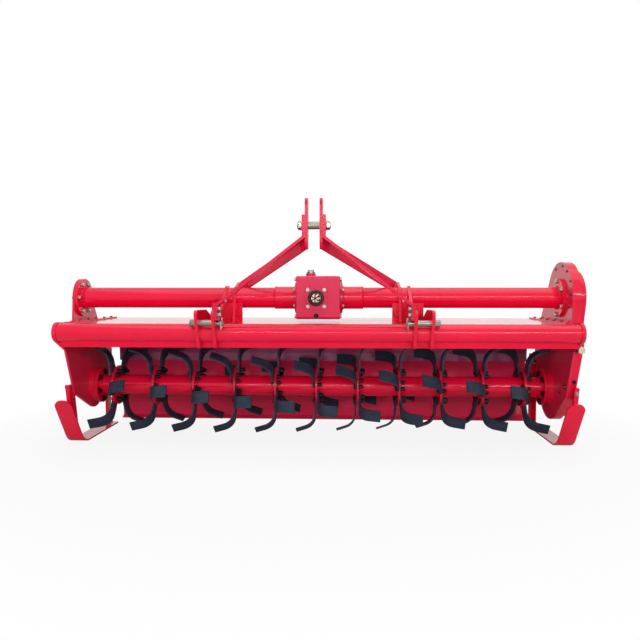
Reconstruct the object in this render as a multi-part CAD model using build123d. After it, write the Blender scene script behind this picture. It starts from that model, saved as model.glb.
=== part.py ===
"""Tractor-mounted rotary tiller with a side gear case, built as separate named pieces.

Frame: +Z up, +Y to the rear (the tractor stands on the -Y side), +X towards the gear case.
Z = 0 is the sole of the skids.  Lengths are millimetres.

Every Y below is measured from the rotor axis.  save() moves the finished pieces so that the
origin lies under the middle of the machine's footprint.
"""
import os
from math import cos, pi, radians, sin, sqrt, tan

from build123d import *

os.makedirs("parts", exist_ok=True)

# ---------------------------------------------------------------- driving dimensions
FOOTPRINT_SHIFT = 90           # rotor axis to the rear of the footprint's middle

# main axes, as (Y, Z)
ROTOR_Z = 254
TUBE_Y, TUBE_Z = -131, 705     # cross tube that carries the gearbox
BEAM_Y, BEAM_Z = -400, 553     # front beam of the hood

# side plates
SIDE_INNER = 1158              # centre plane to the inner face of either side plate
SIDE_WALL = 10
SIDE_FRONT_Y = -335            # front edge just under the beam
SIDE_CORNER_Y, SIDE_CORNER_Z = -240, 245
SIDE_REAR_Y = 235
SIDE_REAR_Z = 330
NOSE_R = 45                    # side plate round the end of the beam
BEARING_FOOT_R = 115           # side plate round the rotor's bearing

# hood
DECK_Z = 590                   # top of the deck sheet
DECK_WALL = 6
DECK_REAR_Y = 235
HOOD_REAR_Y, HOOD_REAR_Z = 260, 396
REAR_LIP_Z = 352               # the rear wall's lip covers the hinge from inside
HOOD_SIDE_GAP = 38             # rear wall and tailboard stop this short of the side plates
BEAM_R, BEAM_WALL = 40, 6
STRIP_FOOT_Z, STRIP_WALL, STRIP_SET = 485, 8, 10
EDGE_WIDE, EDGE_WALL = 42, 6   # strip along the deck's ends

# tailboard
HINGE_Y, HINGE_Z = 278, 380
HINGE_PIN_R = 7
KNUCKLE_R = 13
KNUCKLE_COUNT, KNUCKLE_LONG = 5, 200
KNUCKLE_GAP = 6                # end play between neighbouring knuckles
BOARD_WALL = 4
BOARD_RIB_Z, BOARD_RIB_DEEP, BOARD_RIB_HALF = 190, 9, 20
BOARD_FOOT_Y, BOARD_FOOT_Z = 304, 34
BOARD_LIP = 24

# cross tube and gearbox
TUBE_R, TUBE_WALL = 49.5, 8
TUBE_FLANGE_R, TUBE_FLANGE_WALL = 92, 14
GEARBOX_HALF_X, GEARBOX_HALF_Z = 102, 101
GEARBOX_SET, GEARBOX_LIFT = 8, 2            # housing's middle from its input shaft, to the gear side and up
GEARBOX_FRONT_Y, GEARBOX_REAR_Y = -258, -20
GEARBOX_ROUND = 12
NECK_R, NECK_REACH = 54, 208   # housing's middle to the ends of its necks
NECK_FLANGE, NECK_FLANGE_WALL = 74, 12
INPUT_FLANGE, INPUT_FLANGE_WALL = 103, 12
INPUT_FLANGE_ROUND = 14
SEAL_R, SEAL_WALL = 36, 8
SHAFT_R, SHAFT_DEPTH = 20, 58
SPLINE_R, SPLINE_ROOT_R = 17.4, 14.8
SPLINE_COUNT, SPLINE_WIDE = 6, 8.7
SPLINE_TIP_Y = -370
CENTRE_HOLE_R, CENTRE_HOLE_DEEP = 6, 12
LOCK_GROOVE_IN, LOCK_GROOVE_WIDE = 24, 8
FILLER_X, FILLER_Y = -29, -180
FILLER_BOSS_R, FILLER_CAP_R = 24, 20
DRAIN_Z = 622
RUNNING_GAP = 0.05             # radial, between a shaft and its bore
SEAT_GAP = 0.25                # radial, between a bolted pin and its hole

# gear case
CASE_TOP_R, CASE_FOOT_R, CASE_DEPTH = 170, 158, 32
COVER_TOP_R, COVER_FOOT_R, COVER_DEPTH, COVER_ROUND = 130, 144, 38, 10

# bearings of the rotor
DRUM_R, HUB_SEAT_R = 86, 50
HUB_DEPTH = 32                 # side plate to the rotor's end face
DRUM_GAP = 2
JOURNAL_R, JOURNAL_REACH = 30, 60
CAP_R, CAP_DEPTH, CAP_BREAK = 70, 44, 6

# rotor and blades
ROTOR_TUBE_R, ROTOR_TUBE_WALL = 50, 8
END_FLANGE_R, END_FLANGE_WALL = 90, 14
DISC_R, DISC_WALL = 100, 10
DISC_COUNT = 11
FIRST_DISC_IN, LAST_DISC_IN = 94, 109    # from the rotor's end faces
BLADE_REACH, BLADE_TRAIL = 240, 5.5      # the blades' leading corner: radius, degrees behind the root
BLADE_TWIST = 30.6             # the bend's lean, so that the heel runs clear of the soil
BLADE_WALL, BLADE_WIDE = 9, 58
BLADE_ROOT, BLADE_SPAN = 58, 101
BLADE_BEND_R, BLADE_TURN = 70, 72
BLADES_PER_HAND = 3
FIRST_BLADE = 93.5             # turn of the first right-hand blade, degrees from upright
BLADE_STEP = 6.5               # turn from one disc to the next, degrees

# three-point hitch
MAST_BAR, MAST_WALL = 60, 13
MAST_Y = -458
MAST_GAP = 50
MAST_TOP_Z = 1137
TOP_PIN_DROP, UPPER_HOLE_DROP = 117, 35      # below the mast's top
BEND_DROP = 50                 # top pin to the bend of the arms
TOP_PIN_R = 12.5
SLEEVE_R = 16.5
HITCH_MIDDLE_X = 476
HITCH_GAP, HITCH_WALL = 60, 14
ARM_KNEE_Z, ARM_FOOT_Z = 675, 612
LOWER_PIN_Y, LOWER_PIN_Z = -448, 598
LOWER_PIN_R, LOWER_BOLT_R, LOWER_HEAD_R = 14, 12.5, 21
LOWER_HEAD_DEEP, LOWER_END_REACH = 25, 32
TOP_PIN_REACH = 21             # pin ends stand this far out of the arms
EAR_R = 58                     # plates round the cross tube
BRACE_WIDE = 52
BRACE_FOOT_Y, BRACE_FOOT_Z, BRACE_EYE_R = -66, 755, 26
SADDLE_INNER_X, SADDLE_WALL, SADDLE_FOOT = 388, 12, 82
CLAMP_WALL, CLAMP_SET, CLAMP_TUCK = 10, 40, 30   # upright plates across the saddle and the hitch plates

# skids
SKID_SET = 2                   # skid's middle outside the side plate's outer face
SKID_WIDE, SKID_WALL = 80, 8
SKID_REAR_Y, SKID_BEND_Y, SKID_BEND_R = 240, -203, 100
SKID_TIP_Y, SKID_TIP_Z = -355, 232
SKID_TIP_ROUND = 36
STRUT_WALL, STRUT_FLANGE = 6, 20
FRONT_STRUT_TOP, FRONT_STRUT_FOOT = (-252, 294), (-197, 0)
FRONT_STRUT_WIDE = 54
STRUT_HOLE_R, STRUT_HOLE_COUNT, STRUT_HOLE_PITCH = 6.5, 4, 32
REAR_STRUT_Y, REAR_STRUT_WIDE, REAR_STRUT_TOP_Z = 216, 44, 400
REAR_STRUT_FLANGE, REAR_STRUT_FOOT = 30, 36      # its lip and foot, across the machine
REAR_FOOT_SET = 8              # foot's edge beyond the strut's back

# ---------------------------------------------------------------- sizes that follow
case_x = SIDE_INNER + SIDE_WALL
cover_x = case_x + CASE_DEPTH
hood_half = SIDE_INNER - HOOD_SIDE_GAP
rotor_half = SIDE_INNER - HUB_DEPTH
first_disc_x = -rotor_half + FIRST_DISC_IN
disc_pitch = (2 * rotor_half - FIRST_DISC_IN - LAST_DISC_IN) / (DISC_COUNT - 1)
disc_xs = [first_disc_x + disc_pitch * i for i in range(DISC_COUNT)]
skid_x = case_x + SKID_SET
top_pin_z = MAST_TOP_Z - TOP_PIN_DROP
arm_top_z = top_pin_z + MAST_BAR / 2 + 14
bend_z = top_pin_z - BEND_DROP
gearbox_low_x, gearbox_high_x = GEARBOX_SET - GEARBOX_HALF_X, GEARBOX_SET + GEARBOX_HALF_X
neck_ends = {-1: GEARBOX_SET - NECK_REACH, 1: GEARBOX_SET + NECK_REACH}
SIDES = (("left", -1), ("gear", 1))


def save(name, shape):
    """Write one piece as parts/NAME.step, in the machine's frame."""
    moved = Pos(0, FOOTPRINT_SHIFT, 0) * shape
    moved.label = name
    export_step(moved, f"parts/{name}.step")
    print(f"{name:24s} solids {len(moved.solids())}  volume {moved.volume / 1000:.0f} cm3")


def hull(*discs):
    """Face with the taut outline round some discs, each (y, z, radius), for slab()."""
    circles = [Pos(y, z) * Circle(r) for y, z, r in discs]
    return make_hull([edge for circle in circles for edge in circle.edges()])


def slab(face, x0, x1):
    """Solid between x0 and x1 whose section is a face drawn with its X as Y and its Y as Z."""
    low, high = min(x0, x1), max(x0, x1)
    return extrude(Plane.YZ.offset(low) * face, high - low, dir=(1, 0, 0))


def rod(radius, x0, x1, y=0, z=ROTOR_Z):
    """Round bar along X."""
    return slab(Pos(y, z) * Circle(radius), x0, x1)


def rod_y(radius, y0, y1, x=0, z=TUBE_Z):
    """Round bar along Y."""
    return Pos(x, (y0 + y1) / 2, z) * Rot(90, 0, 0) * Cylinder(radius, abs(y1 - y0))


def block(x0, x1, y0, y1, z0, z1):
    """Plain block between two corners."""
    size = (abs(x1 - x0), abs(y1 - y0), abs(z1 - z0))
    return Pos((x0 + x1) / 2, (y0 + y1) / 2, (z0 + z1) / 2) * Box(*size)


# ---------------------------------------------------------------- hood and side plates
beam_full = rod(BEAM_R, -SIDE_INNER, SIDE_INNER, BEAM_Y, BEAM_Z)
tube_full = rod(TUBE_R, -SIDE_INNER, SIDE_INNER, TUBE_Y, TUBE_Z)


def side_outline(top_radius, foot_radius, web_forward, web_back):
    """Side plate without its nose: round top lobe, front corner, round foot, rear shoulder.

    The lobe's web meets the deck web_forward lobe radii before the tube and web_back behind it.
    """
    web_foot = DECK_Z - 20
    web_front, web_rear = TUBE_Y - web_forward * top_radius, TUBE_Y + web_back * top_radius
    lobe = hull((TUBE_Y, TUBE_Z, top_radius), (web_front, web_foot, 10), (web_rear, web_foot, 10))
    body = hull(
        (SIDE_FRONT_Y + 15, BEAM_Z - 60, 15),
        (SIDE_FRONT_Y + 15, DECK_Z - 15, 15),
        (SIDE_CORNER_Y + 15, SIDE_CORNER_Z + 10, 15),
        (0, ROTOR_Z, foot_radius),
        (SIDE_REAR_Y - 20, SIDE_REAR_Z, 20),
        (SIDE_REAR_Y - 10, DECK_Z - 10, 10),
    )
    return lobe + body


nose = hull(
    (BEAM_Y, BEAM_Z, NOSE_R),
    (SIDE_FRONT_Y + 20, BEAM_Z - 72, 20),
    (SIDE_FRONT_Y + 60, DECK_Z - 20, 20),
)
left_face = side_outline(TUBE_FLANGE_R, BEARING_FOOT_R, 1.04, 2.01)
case_face = side_outline(CASE_TOP_R, CASE_FOOT_R, 0.88, 1.66)
hub_seat = rod(HUB_SEAT_R, -case_x - 1, case_x + 1)
save("side_plate_left", slab(left_face + nose, -SIDE_INNER, -case_x) - hub_seat)
save("side_plate_gear", slab(case_face + nose, SIDE_INNER, case_x) - hub_seat)

save("front_beam", beam_full - rod(BEAM_R - BEAM_WALL, -SIDE_INNER, SIDE_INNER, BEAM_Y, BEAM_Z))

strip_y = BEAM_Y + STRIP_SET
strip = block(-SIDE_INNER, SIDE_INNER, strip_y, strip_y + STRIP_WALL, STRIP_FOOT_Z, BEAM_Z)
save("beam_strip", strip - beam_full)

deck = block(-SIDE_INNER, SIDE_INNER, BEAM_Y, DECK_REAR_Y, DECK_Z - DECK_WALL, DECK_Z)
save("hood_deck", deck - beam_full)
for name, side in SIDES:
    edge = block(
        side * (SIDE_INNER - EDGE_WIDE), side * SIDE_INNER, SIDE_FRONT_Y, DECK_REAR_Y - 25, DECK_Z, DECK_Z + EDGE_WALL
    )
    save(f"deck_edge_{name}", edge)

# ---------------------------------------------------------------- rear wall and tailboard
rear_wall_face = Polygon(
    (DECK_REAR_Y - DECK_WALL, DECK_Z - DECK_WALL),
    (DECK_REAR_Y, DECK_Z - DECK_WALL),
    (HOOD_REAR_Y, HOOD_REAR_Z),
    (HOOD_REAR_Y, REAR_LIP_Z),
    (HOOD_REAR_Y - DECK_WALL, REAR_LIP_Z),
    (HOOD_REAR_Y - DECK_WALL, HOOD_REAR_Z),
    align=None,
)
hinge_eye = Pos(HINGE_Y, HINGE_Z) * Circle(HINGE_PIN_R + RUNNING_GAP)
fixed_knuckle = hull((HINGE_Y, HINGE_Z, KNUCKLE_R), (HOOD_REAR_Y - 4, HOOD_REAR_Z + 8, 2)) - hinge_eye
knuckle_pitch = 2 * hood_half / KNUCKLE_COUNT
fixed_long = knuckle_pitch - KNUCKLE_LONG - 2 * KNUCKLE_GAP
rear_wall = slab(rear_wall_face, -hood_half, hood_half)
for i in range(KNUCKLE_COUNT + 1):
    x = -hood_half + i * knuckle_pitch
    start = max(x - fixed_long / 2, -hood_half)
    end = min(x + fixed_long / 2, hood_half)
    rear_wall += slab(fixed_knuckle, start, end)
save("hood_rear_wall", rear_wall)
save("tailboard_hinge_rod", rod(HINGE_PIN_R, -hood_half, hood_half, HINGE_Y, HINGE_Z))

board_top_z = HINGE_Z - KNUCKLE_R - 5
board_slope = (BOARD_FOOT_Y - HINGE_Y) / (board_top_z - BOARD_FOOT_Z)


def board_y(z):
    """Front face of the tailboard's plain sheet at a height."""
    return HINGE_Y + board_slope * (board_top_z - z)


# front face from the top down: plain, a pressed rib, plain, and the lip turned forwards
front_line = [
    (board_y(board_top_z), board_top_z),
    (board_y(BOARD_RIB_Z + BOARD_RIB_HALF), BOARD_RIB_Z + BOARD_RIB_HALF),
    (board_y(BOARD_RIB_Z) + BOARD_RIB_DEEP, BOARD_RIB_Z),
    (board_y(BOARD_RIB_Z - BOARD_RIB_HALF), BOARD_RIB_Z - BOARD_RIB_HALF),
    (BOARD_FOOT_Y, BOARD_FOOT_Z + BOARD_WALL),
    (BOARD_FOOT_Y - BOARD_LIP, BOARD_FOOT_Z + BOARD_WALL - BOARD_LIP / 2),
]
back_line = [(y + BOARD_WALL, z) for y, z in front_line[:4]]
back_line += [(BOARD_FOOT_Y + BOARD_WALL, BOARD_FOOT_Z + 1)]
back_line += [(BOARD_FOOT_Y - BOARD_LIP, BOARD_FOOT_Z - BOARD_LIP / 2 - 1)]
board = slab(Polygon(*front_line, *reversed(back_line), align=None), -hood_half, hood_half)
moving_foot = (HINGE_Y + BOARD_WALL / 2 + 1, board_top_z - 12, 3)
moving_knuckle = hull((HINGE_Y, HINGE_Z, KNUCKLE_R), moving_foot) - hinge_eye
for i in range(KNUCKLE_COUNT):
    x = -hood_half + (i + 0.5) * knuckle_pitch
    board += slab(moving_knuckle, x - KNUCKLE_LONG / 2, x + KNUCKLE_LONG / 2)
save("tailboard_panel", board)

# ---------------------------------------------------------------- cross tube and gearbox
for name, side in SIDES:
    tube = rod(TUBE_R, neck_ends[side], side * SIDE_INNER, TUBE_Y, TUBE_Z)
    tube += rod(TUBE_FLANGE_R, side * (SIDE_INNER - TUBE_FLANGE_WALL), side * SIDE_INNER, TUBE_Y, TUBE_Z)
    tube -= rod(TUBE_R - TUBE_WALL, neck_ends[side], side * SIDE_INNER, TUBE_Y, TUBE_Z)
    save(f"cross_tube_{name}", tube)

gearbox_top = TUBE_Z + GEARBOX_LIFT + GEARBOX_HALF_Z
housing = block(
    gearbox_low_x,
    gearbox_high_x,
    GEARBOX_FRONT_Y,
    GEARBOX_REAR_Y,
    gearbox_top - 2 * GEARBOX_HALF_Z,
    gearbox_top,
)
housing = fillet(housing.edges().filter_by(Axis.X), GEARBOX_ROUND)
housing = fillet(housing.faces().sort_by(Axis.X)[0].edges() + housing.faces().sort_by(Axis.X)[-1].edges(), 5)
housing += rod(NECK_FLANGE, gearbox_low_x - NECK_FLANGE_WALL, gearbox_high_x + NECK_FLANGE_WALL, TUBE_Y, TUBE_Z)
housing += rod(NECK_R, neck_ends[-1], neck_ends[1], TUBE_Y, TUBE_Z)
housing += Pos(FILLER_X, FILLER_Y, gearbox_top + 5) * Cylinder(FILLER_BOSS_R, 14)
housing += rod_y(15, GEARBOX_FRONT_Y - 5, GEARBOX_FRONT_Y + 5, 0, DRAIN_Z)
housing -= rod_y(SHAFT_R + RUNNING_GAP, GEARBOX_FRONT_Y - 1, GEARBOX_FRONT_Y + SHAFT_DEPTH + 2)
save("gearbox_housing", housing)

filler_top = gearbox_top + 12
filler = Pos(FILLER_X, FILLER_Y, filler_top + 4) * Cylinder(FILLER_CAP_R, 8)
filler += Pos(FILLER_X, FILLER_Y, filler_top + 11) * extrude(RegularPolygon(FILLER_CAP_R - 5, 6), 7, both=True)
save("filler_cap", filler)

flange_front = GEARBOX_FRONT_Y - INPUT_FLANGE_WALL
seal_front = flange_front - SEAL_WALL
half = INPUT_FLANGE / 2
input_flange = block(-half, half, flange_front, GEARBOX_FRONT_Y, TUBE_Z - half, TUBE_Z + half)
input_flange = fillet(input_flange.edges().filter_by(Axis.Y), INPUT_FLANGE_ROUND)
input_flange += rod_y(SEAL_R, seal_front, flange_front)
input_flange -= rod_y(SHAFT_R + RUNNING_GAP, seal_front - 1, GEARBOX_FRONT_Y + 1)
save("gearbox_input_flange", input_flange)

spline_face = Circle(SPLINE_ROOT_R)
for i in range(SPLINE_COUNT):
    tooth = Pos(SPLINE_R / 2, 0) * Rectangle(SPLINE_R, SPLINE_WIDE)
    spline_face += Rot(0, 0, 360 * i / SPLINE_COUNT) * tooth
spline_face = spline_face & Circle(SPLINE_R)
spline_root_y = seal_front - 6
input_shaft = rod_y(SHAFT_R, spline_root_y, GEARBOX_FRONT_Y + SHAFT_DEPTH)
input_shaft += extrude(Plane.XZ.offset(-spline_root_y) * Pos(0, TUBE_Z) * spline_face, spline_root_y - SPLINE_TIP_Y)
input_shaft -= rod_y(CENTRE_HOLE_R, SPLINE_TIP_Y - 1, SPLINE_TIP_Y + CENTRE_HOLE_DEEP)
groove_ends = (SPLINE_TIP_Y + LOCK_GROOVE_IN, SPLINE_TIP_Y + LOCK_GROOVE_IN + LOCK_GROOVE_WIDE)
input_shaft -= rod_y(SPLINE_R + 2, *groove_ends) - rod_y(SPLINE_ROOT_R, *groove_ends)
save("input_shaft", input_shaft)

# ---------------------------------------------------------------- gear case and bearings
journal_bore_r = JOURNAL_R + RUNNING_GAP
case = slab(case_face, case_x, cover_x)
case -= rod(journal_bore_r, case_x - 1, cover_x - 8)
save("gear_case_body", case)
cover = slab(hull((TUBE_Y, TUBE_Z, COVER_TOP_R), (0, ROTOR_Z, COVER_FOOT_R)), cover_x, cover_x + COVER_DEPTH)
cover = fillet(cover.faces().sort_by(Axis.X)[-1].edges(), COVER_ROUND)
save("gear_case_cover", cover)

drum_end = rotor_half + DRUM_GAP
gear_hub = rod(DRUM_R, drum_end, SIDE_INNER) + rod(HUB_SEAT_R, SIDE_INNER, case_x)
save("gear_hub", gear_hub - rod(journal_bore_r, drum_end - 1, case_x + 1))
journal_end = rotor_half + JOURNAL_REACH
bearing = rod(DRUM_R, -drum_end, -SIDE_INNER) + rod(HUB_SEAT_R, -SIDE_INNER, -case_x)
cap = rod(CAP_R, -case_x, -case_x - CAP_DEPTH)
cap = chamfer(cap.faces().sort_by(Axis.X)[0].edges(), CAP_BREAK)
save("bearing_housing", bearing + cap - rod(journal_bore_r, -drum_end + 1, -journal_end - 4))

# ---------------------------------------------------------------- rotor
tube_stop = rotor_half - END_FLANGE_WALL
shaft = rod(ROTOR_TUBE_R, -rotor_half, rotor_half)
shaft -= rod(ROTOR_TUBE_R - ROTOR_TUBE_WALL, -tube_stop, tube_stop)
for name, side in SIDES:
    shaft += rod(END_FLANGE_R, side * tube_stop, side * rotor_half) - rod(ROTOR_TUBE_R - 1, -rotor_half, rotor_half)
    journal_stop = journal_end if side < 0 else cover_x - 10
    shaft += rod(JOURNAL_R, side * rotor_half, side * journal_stop)
disc_face = Pos(0, ROTOR_Z) * (Circle(DISC_R) - Circle(ROTOR_TUBE_R - 1))
for x in disc_xs:
    shaft += slab(disc_face, x - DISC_WALL / 2, x + DISC_WALL / 2)
save("rotor_shaft", shaft)


def blade(hand):
    """Curved blade standing up from the origin: flat root, round bend to one side, plain tip.

    A band bent about a leaning line is trimmed to the swept-back outline seen along X.
    """
    half_wide, twist, trail = BLADE_WIDE / 2, radians(BLADE_TWIST), radians(BLADE_TRAIL)
    lead_y, lead_z = BLADE_REACH * sin(trail), BLADE_REACH * cos(trail)
    heel_y, heel_z = lead_y + BLADE_WIDE * cos(twist), lead_z - BLADE_WIDE * sin(twist)
    tip_z = lead_y * sin(twist) + lead_z * cos(twist)
    turn = radians(BLADE_TURN)
    flat_end = BLADE_SPAN - BLADE_WALL / 2 - BLADE_BEND_R * (1 - cos(turn))
    tip_long = flat_end / sin(turn)
    rise = BLADE_BEND_R * sin(turn) + tip_long * cos(turn) + BLADE_WALL / 2 * sin(turn)
    start_z = tip_z - rise
    root_x, knee_x = BLADE_WALL / 2, BLADE_WALL / 2 + BLADE_BEND_R * (1 - cos(turn))
    knee_z = start_z + BLADE_BEND_R * sin(turn)
    root = Line((hand * root_x, 0, 0), (hand * root_x, 0, start_z))
    bend = TangentArc(root @ 1, (hand * knee_x, 0, knee_z), tangent=root % 1)
    tip = Line(bend @ 1, (hand * (knee_x + tip_long * sin(turn)), 0, knee_z + tip_long * cos(turn)))
    path = Wire([root.edge(), bend.edge(), tip.edge()])
    section = Plane(origin=root @ 0, z_dir=(0, 0, 1), x_dir=(0, 1, 0)) * Rectangle(6 * BLADE_WIDE, BLADE_WALL)
    band = Rot(-BLADE_TWIST, 0, 0) * sweep(section, path=path)
    leading = TangentArc((-half_wide, DISC_R), (lead_y, lead_z), tangent=(0, 1))
    trailing = TangentArc((half_wide, DISC_R), (heel_y, heel_z), tangent=(0, 1))
    over_y, over_z = BLADE_WALL * sin(twist), BLADE_WALL * cos(twist)
    outline = make_face(
        [
            trailing.edge(),
            Line((heel_y, heel_z), (heel_y + over_y, heel_z + over_z)).edge(),
            Line((heel_y + over_y, heel_z + over_z), (lead_y + over_y, lead_z + over_z)).edge(),
            Line((lead_y + over_y, lead_z + over_z), (lead_y, lead_z)).edge(),
            leading.edge(),
            Line((-half_wide, DISC_R), (-half_wide, BLADE_ROOT)).edge(),
            Line((-half_wide, BLADE_ROOT), (half_wide, BLADE_ROOT)).edge(),
            Line((half_wide, BLADE_ROOT), (half_wide, DISC_R)).edge(),
        ]
    )
    return band & slab(outline, -hand, hand * (BLADE_SPAN + 20))


for name, hand in (("blades_left", -1), ("blades_right", 1)):
    form = blade(hand)
    spacing = 360 / BLADES_PER_HAND
    first = FIRST_BLADE if hand > 0 else FIRST_BLADE + spacing / 2
    solids = []
    for number, x in enumerate(disc_xs):
        for turn in range(BLADES_PER_HAND):
            angle = first + number * BLADE_STEP + turn * spacing
            solids.append(Pos(x + hand * DISC_WALL / 2, 0, ROTOR_Z) * Rot(angle, 0, 0) * form)
    save(name, Compound(children=solids))


# ---------------------------------------------------------------- hitch
def strap(points, width, thickness, y):
    """Flat bar bent along points in the XZ plane, its width along Y centred on y."""
    line = Polyline(*[(x, 0, z) for x, z in points])
    section = Plane(origin=line @ 0, z_dir=line % 0, x_dir=(0, 1, 0)) * Rectangle(width, thickness)
    return Pos(0, y, 0) * sweep(section, path=line, transition=Transition.RIGHT)


def upright_bar(start, end, width, thickness):
    """Straight flat bar from start to end, its broad face upright."""
    run = Vector(*end) - Vector(*start)
    face_normal = Vector(run.Y, -run.X, 0).normalized()
    section = Plane(origin=start, z_dir=run, x_dir=face_normal) * Rectangle(thickness, width)
    return extrude(section, run.length, dir=run.normalized())


inner_plate_x = HITCH_MIDDLE_X - HITCH_GAP / 2 - HITCH_WALL / 2
outer_plate_x = HITCH_MIDDLE_X + HITCH_GAP / 2 + HITCH_WALL / 2
arm_x = inner_plate_x - HITCH_WALL / 2 - MAST_WALL / 2
brace_x = MAST_GAP / 2 + MAST_WALL / 2
brace_start_z = bend_z - 22
pin_end_x = inner_plate_x - HITCH_WALL / 2 - LOWER_END_REACH
head_end_x = outer_plate_x + HITCH_WALL / 2 + LOWER_HEAD_DEEP

plate_foot = ((BEAM_Y - 12, BEAM_Z - 43, 26), (BEAM_Y + 29, BEAM_Z + 7, 25))
plate_top = ((LOWER_PIN_Y - 17, LOWER_PIN_Z + 37, 20), (TUBE_Y - 169, DECK_Z + 55, 8))
outer_face = hull(*plate_top, *plate_foot, (TUBE_Y - 19, DECK_Z + 6, 10))
ear_face = hull((TUBE_Y, TUBE_Z, EAR_R), plate_top[1], (TUBE_Y - 19, DECK_Z + 6, 10), (TUBE_Y + 41, DECK_Z + 6, 10))
hood_room = block(-SIDE_INNER, SIDE_INNER, strip_y, TUBE_Y, STRIP_FOOT_Z - BEAM_R, BEAM_Z)
hood_room += block(-SIDE_INNER, SIDE_INNER, BEAM_Y, DECK_REAR_Y, STRIP_FOOT_Z, DECK_Z)
hood_room += beam_full
pin_room = rod(LOWER_BOLT_R + SEAT_GAP, -SIDE_INNER, SIDE_INNER, LOWER_PIN_Y, LOWER_PIN_Z)
saddle_face = hull(
    (TUBE_Y, TUBE_Z, EAR_R - 2),
    (BRACE_FOOT_Y, BRACE_FOOT_Z, BRACE_EYE_R),
    (TUBE_Y - SADDLE_FOOT, DECK_Z + 2, 4),
    (TUBE_Y + SADDLE_FOOT, DECK_Z + 2, 4),
)

for name, side in SIDES:
    mast_room = rod(TOP_PIN_R + SEAT_GAP, -2 * MAST_GAP, 2 * MAST_GAP, MAST_Y, top_pin_z)
    arm = strap(
        [
            (side * (brace_x + MAST_WALL), arm_top_z),
            (side * (brace_x + MAST_WALL), bend_z),
            (side * arm_x, ARM_KNEE_Z),
            (side * arm_x, ARM_FOOT_Z),
        ],
        MAST_BAR,
        MAST_WALL,
        MAST_Y,
    )
    save(f"mast_arm_{name}", arm - mast_room)

    upright_end = MAST_TOP_Z - MAST_BAR / 2
    inner, outer = side * MAST_GAP / 2, side * (MAST_GAP / 2 + MAST_WALL)
    upright = block(inner, outer, MAST_Y - MAST_BAR / 2, MAST_Y + MAST_BAR / 2, brace_start_z, upright_end)
    upright += rod(MAST_BAR / 2, inner, outer, MAST_Y, upright_end)
    upright -= rod(TOP_PIN_R + SEAT_GAP, inner, outer, MAST_Y, MAST_TOP_Z - UPPER_HOLE_DROP)
    saddle_inner = side * SADDLE_INNER_X
    brace_end_x = saddle_inner - side * MAST_WALL / 2
    brace = upright + rod(MAST_BAR / 2, inner, outer, MAST_Y, brace_start_z)
    brace += upright_bar(
        (side * brace_x, MAST_Y, brace_start_z), (brace_end_x, BRACE_FOOT_Y, BRACE_FOOT_Z), BRACE_WIDE, MAST_WALL
    )
    brace += rod(BRACE_EYE_R, saddle_inner - side * MAST_WALL, saddle_inner, BRACE_FOOT_Y, BRACE_FOOT_Z)
    brace &= block(inner, saddle_inner, MAST_Y - MAST_BAR, DECK_REAR_Y, DECK_Z, MAST_TOP_Z)
    save(f"mast_brace_{name}", brace - mast_room - arm - tube_full)

    for which, face, x in (("outer", outer_face, outer_plate_x), ("inner", outer_face + ear_face, inner_plate_x)):
        plate = slab(face, side * (x - HITCH_WALL / 2), side * (x + HITCH_WALL / 2))
        save(f"hitch_plate_{which}_{name}", plate - hood_room - pin_room - tube_full)

    gap_inner = side * (HITCH_MIDDLE_X - HITCH_GAP / 2)
    gap_outer = side * (HITCH_MIDDLE_X + HITCH_GAP / 2)
    pin = rod(LOWER_PIN_R, gap_inner, gap_outer, LOWER_PIN_Y, LOWER_PIN_Z)
    pin += rod(LOWER_BOLT_R, side * pin_end_x, side * head_end_x, LOWER_PIN_Y, LOWER_PIN_Z)
    pin += rod(LOWER_HEAD_R, gap_outer + side * HITCH_WALL, side * head_end_x, LOWER_PIN_Y, LOWER_PIN_Z)
    save(f"hitch_pin_{name}", pin)

    saddle = slab(saddle_face, saddle_inner, saddle_inner + side * SADDLE_WALL)
    clamp_y, clamp_top = TUBE_Y - CLAMP_SET - CLAMP_WALL, TUBE_Z - TUBE_R / 2
    for start, end in (
        (saddle_inner - side * CLAMP_TUCK, side * (inner_plate_x - HITCH_WALL / 2)),
        (gap_inner, gap_outer),
    ):
        saddle += block(start, end, clamp_y, clamp_y + CLAMP_WALL, DECK_Z, clamp_top)
    save(f"tube_saddle_{name}", saddle - tube_full - hood_room)

top_pin_end = MAST_GAP / 2 + 2 * MAST_WALL + TOP_PIN_REACH
top_pin = rod(TOP_PIN_R, -top_pin_end, top_pin_end, MAST_Y, top_pin_z)
top_pin += rod(SLEEVE_R, -MAST_GAP / 2, MAST_GAP / 2, MAST_Y, top_pin_z)
save("top_link_pin", top_pin)

# ---------------------------------------------------------------- skids
sole_line = FilletPolyline(
    (0, SKID_REAR_Y, SKID_WALL / 2),
    (0, SKID_BEND_Y, SKID_WALL / 2),
    (0, SKID_TIP_Y, SKID_TIP_Z),
    radius=SKID_BEND_R,
)
under_line = Polyline(
    (0, SKID_TIP_Y, SKID_TIP_Z), (0, SKID_TIP_Y, -9), (0, SKID_REAR_Y, -9), (0, SKID_REAR_Y, SKID_WALL / 2)
)
under = extrude(make_face(sole_line.edges() + under_line.edges()), SIDE_INNER + 200, both=True)
sole_section = Plane(origin=sole_line @ 0, z_dir=sole_line % 0, x_dir=(1, 0, 0)) * Rectangle(SKID_WIDE, SKID_WALL)
sole = sweep(sole_section, path=sole_line)
tip_corners = sole.edges().filter_by(lambda e: abs(e.length - SKID_WALL) < 0.1).sort_by(Axis.Z)[-2:]
sole = fillet(tip_corners, SKID_TIP_ROUND)

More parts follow.
